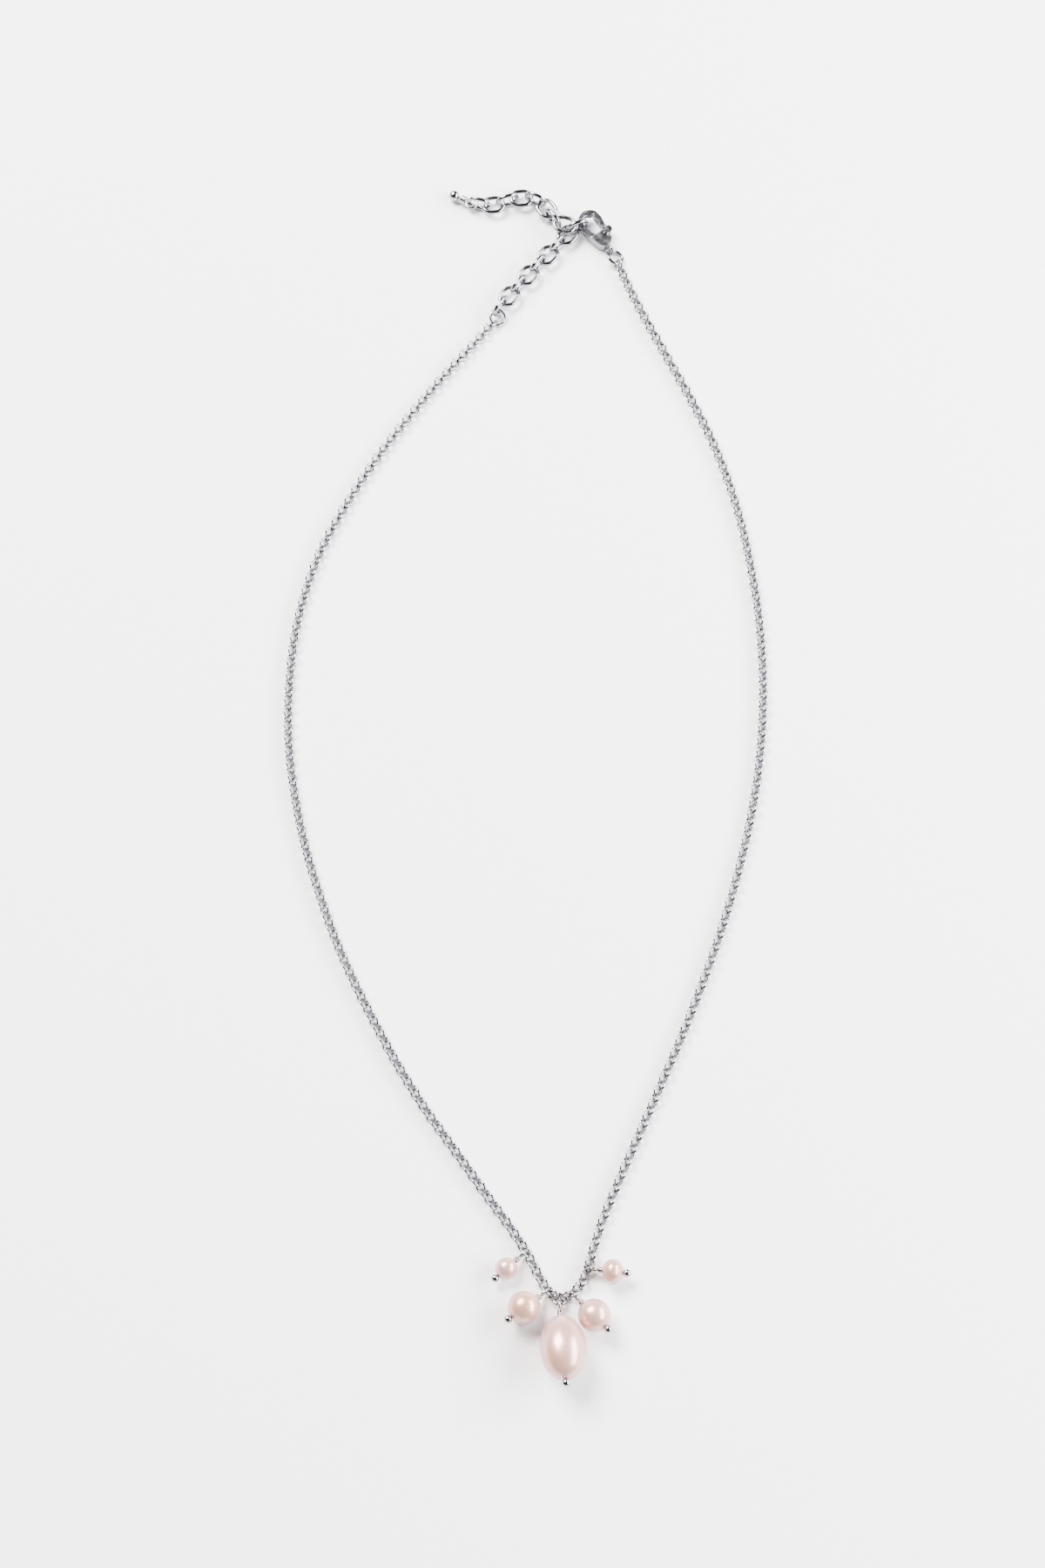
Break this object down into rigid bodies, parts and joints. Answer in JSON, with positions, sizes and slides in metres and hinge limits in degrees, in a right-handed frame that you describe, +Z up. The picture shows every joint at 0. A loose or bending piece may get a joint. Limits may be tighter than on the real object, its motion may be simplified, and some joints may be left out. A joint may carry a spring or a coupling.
{
  "type": "pearl necklace",
  "caption": "Fine silver link necklace lying open, with pink pearl drops at the front, a lobster clasp and an extender chain.",
  "frame": {"origin": "middle of the footprint, on the surface the necklace lies on", "axes": "+Z up, +Y from the pearl drops towards the clasp, +X to the side that carries the clasp"},
  "size_m": [0.0838, 0.2194, 0.0079],
  "materials": {
    "silver": "polished silver wire",
    "clasp_metal": "polished, a little darker than the chain",
    "pin_wire": "polished silver wire",
    "pearl": "pearl lustre, pale pink with a mauve rim"
  },
  "bodies": {
    "front": {"centre_link": "silver", "left_chain_1": "silver", "right_chain_1": "silver"},
    "left_part_2": {"left_chain_2": "silver"},
    "left_part_3": {"left_chain_3": "silver"},
    "left_part_4": {"left_chain_4": "silver"},
    "left_part_5": {"left_chain_5": "silver"},
    "left_part_6": {"left_chain_6": "silver"},
    "left_part_7": {"left_chain_7": "silver"},
    "right_part_2": {"right_chain_2": "silver"},
    "right_part_3": {"right_chain_3": "silver"},
    "right_part_4": {"right_chain_4": "silver"},
    "right_part_5": {"right_chain_5": "silver"},
    "right_part_6": {"right_chain_6": "silver"},
    "right_part_7": {"right_chain_7": "silver"},
    "left_part_8": {"left_chain_8": "silver", "extender_ring": "silver", "extender_link_1": "silver", "extender_link_2": "silver", "extender_link_3": "silver", "extender_link_4": "silver", "extender_link_5": "silver", "extender_link_6": "silver", "extender_link_7": "silver", "extender_link_8": "silver", "hooked_link": "silver"},
    "right_part_8": {"right_chain_8": "silver", "clasp_ring": "silver", "clasp_body": "clasp_metal", "clasp_pivot_pin": "clasp_metal", "clasp_spring": "clasp_metal"},
    "clasp_lever": {"clasp_lever": "clasp_metal"},
    "centre_drop": {"centre_headpin": "pin_wire"},
    "centre_pearl": {"centre_pearl": "pearl"},
    "lower_left_drop": {"lower_left_headpin": "pin_wire"},
    "lower_left_pearl": {"lower_left_pearl": "pearl"},
    "lower_right_drop": {"lower_right_headpin": "pin_wire"},
    "lower_right_pearl": {"lower_right_pearl": "pearl"},
    "upper_left_drop": {"upper_left_headpin": "pin_wire"},
    "upper_left_pearl": {"upper_left_pearl": "pearl"},
    "upper_right_drop": {"upper_right_headpin": "pin_wire"},
    "upper_right_pearl": {"upper_right_pearl": "pearl"},
    "tail_upper": {"tail_link_1": "silver", "tail_link_2": "silver", "tail_link_3": "silver", "tail_link_4": "silver"},
    "tail_lower": {"tail_link_5": "silver", "tail_link_6": "silver", "tail_link_7": "silver", "tail_link_8": "silver"},
    "tail_end_drop": {"tail_end_drop": "pin_wire"}
  },
  "joints": [
    {"name": "fold_1_left", "type": "hinge", "parent": "front", "child": "left_part_2", "pos_m": [-0.00775, -0.07639, 0.0008], "axis": [1, 0, 0], "range_deg": [0, 50]},
    {"name": "fold_2_left", "type": "hinge", "parent": "left_part_2", "child": "left_part_3", "pos_m": [-0.02772, -0.04429, 0.0008], "axis": [1, 0, 0], "range_deg": [0, 50]},
    {"name": "fold_3_left", "type": "hinge", "parent": "left_part_3", "child": "left_part_4", "pos_m": [-0.03847, -0.01439, 0.0008], "axis": [1, 0, 0], "range_deg": [0, 50]},
    {"name": "sway_a_left", "type": "hinge", "parent": "left_part_4", "child": "left_part_5", "pos_m": [-0.0405, -0.00279, 0.0008], "axis": [0, 0, 1], "range_deg": [-20, 20]},
    {"name": "sway_b_left", "type": "hinge", "parent": "left_part_5", "child": "left_part_6", "pos_m": [-0.03995, 0.02281, 0.0008], "axis": [0, 0, 1], "range_deg": [-20, 20]},
    {"name": "fold_4_left", "type": "hinge", "parent": "left_part_6", "child": "left_part_7", "pos_m": [-0.03626, 0.03641, 0.0008], "axis": [1, 0, 0], "range_deg": [0, 50]},
    {"name": "fold_5_left", "type": "hinge", "parent": "left_part_7", "child": "left_part_8", "pos_m": [-0.01818, 0.06671, 0.0008], "axis": [1, 0, 0], "range_deg": [0, 50]},
    {"name": "fold_1_right", "type": "hinge", "parent": "front", "child": "right_part_2", "pos_m": [0.01485, -0.07639, 0.0008], "axis": [1, 0, 0], "range_deg": [0, 50]},
    {"name": "fold_2_right", "type": "hinge", "parent": "right_part_2", "child": "right_part_3", "pos_m": [0.02872, -0.04429, 0.0008], "axis": [1, 0, 0], "range_deg": [0, 50]},
    {"name": "fold_3_right", "type": "hinge", "parent": "right_part_3", "child": "right_part_4", "pos_m": [0.038, -0.01439, 0.0008], "axis": [1, 0, 0], "range_deg": [0, 50]},
    {"name": "sway_a_right", "type": "hinge", "parent": "right_part_4", "child": "right_part_5", "pos_m": [0.04016, -0.00183, 0.0008], "axis": [0, 0, 1], "range_deg": [-20, 20]},
    {"name": "sway_b_right", "type": "hinge", "parent": "right_part_5", "child": "right_part_6", "pos_m": [0.0407, 0.02377, 0.0008], "axis": [0, 0, 1], "range_deg": [-20, 20]},
    {"name": "fold_4_right", "type": "hinge", "parent": "right_part_6", "child": "right_part_7", "pos_m": [0.03911, 0.03641, 0.0008], "axis": [1, 0, 0], "range_deg": [0, 50]},
    {"name": "fold_5_right", "type": "hinge", "parent": "right_part_7", "child": "right_part_8", "pos_m": [0.0296, 0.06671, 0.0008], "axis": [1, 0, 0], "range_deg": [0, 50]},
    {"name": "centre_swing", "type": "hinge", "parent": "front", "child": "centre_drop", "pos_m": [0.0053, -0.09621, 0.00155], "axis": [-0.9976, -0.0698, 0], "range_deg": [0, 90]},
    {"name": "centre_spin", "type": "hinge", "parent": "centre_drop", "child": "centre_pearl", "pos_m": [0.0058, -0.10329, 0.00397], "axis": [0.066, -0.9443, 0.3224], "continuous": true},
    {"name": "lower_left_swing", "type": "hinge", "parent": "front", "child": "lower_left_drop", "pos_m": [0.00285, -0.0942, 0.00165], "axis": [0.6157, -0.788, 0], "range_deg": [-65, 0]},
    {"name": "lower_left_spin", "type": "hinge", "parent": "lower_left_drop", "child": "lower_left_pearl", "pos_m": [-0.0004, -0.09674, 0.00265], "axis": [-0.7659, -0.5984, 0.2353], "continuous": true},
    {"name": "lower_right_swing", "type": "hinge", "parent": "front", "child": "lower_right_drop", "pos_m": [0.00794, -0.09488, 0.0016], "axis": [0.7314, 0.682, 0], "range_deg": [-65, 0]},
    {"name": "lower_right_spin", "type": "hinge", "parent": "lower_right_drop", "child": "lower_right_pearl", "pos_m": [0.01082, -0.09797, 0.00265], "axis": [0.6618, -0.7097, 0.2414], "continuous": true},
    {"name": "upper_left_swing", "type": "hinge", "parent": "front", "child": "upper_left_drop", "pos_m": [-0.00064, -0.08798, 0.0016], "axis": [-0.6691, 0.7431, 0], "range_deg": [0, 90]},
    {"name": "upper_left_spin", "type": "hinge", "parent": "upper_left_drop", "child": "upper_left_pearl", "pos_m": [-0.00323, -0.09032, 0.0018], "axis": [-0.7419, -0.668, 0.0572], "continuous": true},
    {"name": "upper_right_swing", "type": "hinge", "parent": "front", "child": "upper_right_drop", "pos_m": [0.01064, -0.09039, 0.0016], "axis": [-0.1392, -0.9903, 0], "range_deg": [0, 90]},
    {"name": "upper_right_spin", "type": "hinge", "parent": "upper_right_drop", "child": "upper_right_pearl", "pos_m": [0.01388, -0.09085, 0.00204], "axis": [0.9812, -0.1379, 0.1347], "continuous": true},
    {"name": "clasp_lever_open", "type": "hinge", "parent": "right_part_8", "child": "clasp_lever", "pos_m": [0.01458, 0.09983, 0.00143], "axis": [0.0614, -0.0846, 0.9945], "range_deg": [0, 16], "stiffness_Nm_per_rad": 0.0005, "springref_deg": -11.46},
    {"name": "tail_upper_turn", "type": "hinge", "parent": "left_part_8", "child": "tail_upper", "pos_m": [0.00777, 0.10085, 0.0024], "axis": [0, 0, 1], "range_deg": [-8, 2]},
    {"name": "tail_lower_turn", "type": "hinge", "parent": "tail_upper", "child": "tail_lower", "pos_m": [0.00047, 0.10747, 0.00166], "axis": [0, 0, 1], "range_deg": [-8, 8]},
    {"name": "tail_end_turn", "type": "hinge", "parent": "tail_lower", "child": "tail_end_drop", "pos_m": [-0.01002, 0.10685, 0.00115], "axis": [0, 0, 1], "range_deg": [-15, 15]}
  ],
  "couplings": [
    {"joint": "fold_1_right", "follows": "fold_1_left", "ratio": 1},
    {"joint": "fold_2_right", "follows": "fold_2_left", "ratio": 1},
    {"joint": "fold_3_right", "follows": "fold_3_left", "ratio": 1},
    {"joint": "fold_4_right", "follows": "fold_4_left", "ratio": 1},
    {"joint": "fold_5_right", "follows": "fold_5_left", "ratio": 1},
    {"joint": "sway_b_left", "follows": "sway_a_left", "ratio": -1},
    {"joint": "sway_a_right", "follows": "sway_a_left", "ratio": 1},
    {"joint": "sway_b_right", "follows": "sway_a_left", "ratio": -1}
  ]
}
